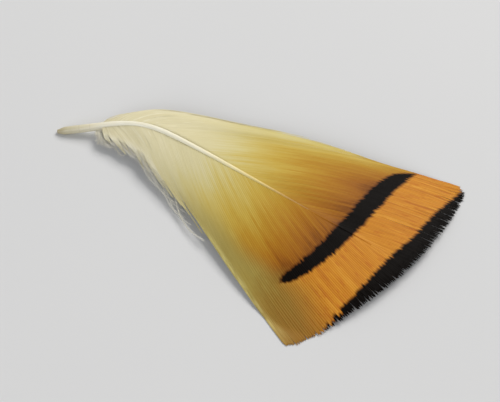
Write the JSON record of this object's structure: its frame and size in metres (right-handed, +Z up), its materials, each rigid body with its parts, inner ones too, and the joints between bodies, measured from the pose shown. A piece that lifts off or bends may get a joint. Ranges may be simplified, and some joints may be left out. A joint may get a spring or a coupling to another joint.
{
  "type": "golden pheasant tippet feather",
  "caption": "Square-ended barred body feather with a bare quill, curved shaft, downy base, gold vane and black bars across an orange tip, lying on its under side.",
  "frame": {"origin": "centre of the feather's bounding box in plan, on the surface it lies on", "axes": "+X from the quill's end to the tip, +Z up, out of the glossy outer side; the tip's +Y corner stands further out"},
  "size_m": [0.0464, 0.026, 0.0032],
  "materials": {
    "vane": "silky, satin barbs; cream at the foot, gold, then bright orange",
    "bars": "soft brown-black barbs",
    "shaft": "smooth pale horn, half gloss",
    "down": "matt loose down, off-white to grey"
  },
  "bodies": {
    "root": {"feather": "vane"}
  },
  "joints": []
}
